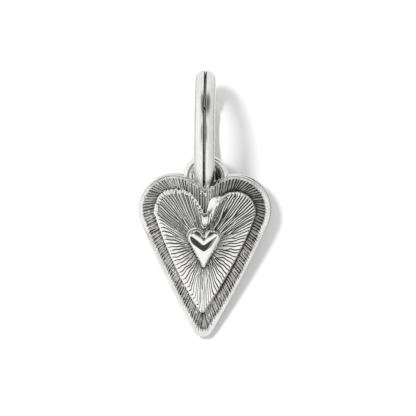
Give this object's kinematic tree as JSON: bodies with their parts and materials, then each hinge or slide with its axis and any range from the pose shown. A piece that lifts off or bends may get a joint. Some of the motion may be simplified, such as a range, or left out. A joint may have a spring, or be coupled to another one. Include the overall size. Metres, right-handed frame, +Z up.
{
  "type": "heart charm",
  "caption": "Layered silver heart charm with a sunburst of cut lines round a puffed centre heart, hanging by a fixed loop on a split ring.",
  "frame": {"origin": "inside top of the split ring, in its middle plane, where a chain or bracelet bears and the charm hangs", "axes": "+Z up, against the pull of the hanging charm; the heart's face looks along -Y; +X to the right of the face; the ring lies in the YZ plane"},
  "size_m": [0.0158, 0.014, 0.0324],
  "materials": {
    "polished_silver": "polished silver",
    "darkened_silver": "silver with hand-cut lines, darkened in the cuts and rubbed bright on top"
  },
  "bodies": {
    "ring": {"split_ring": "polished_silver"},
    "heart": {"back_plate": "polished_silver", "heart_base": "darkened_silver", "inner_heart": "darkened_silver", "centre_heart": "polished_silver", "bail_loop": "polished_silver"}
  },
  "joints": [
    {"name": "ring_turn", "type": "hinge", "parent": "ring", "child": "heart", "pos_m": [0, 0, -0.0058], "axis": [-1, 0, 0], "continuous": true}
  ]
}
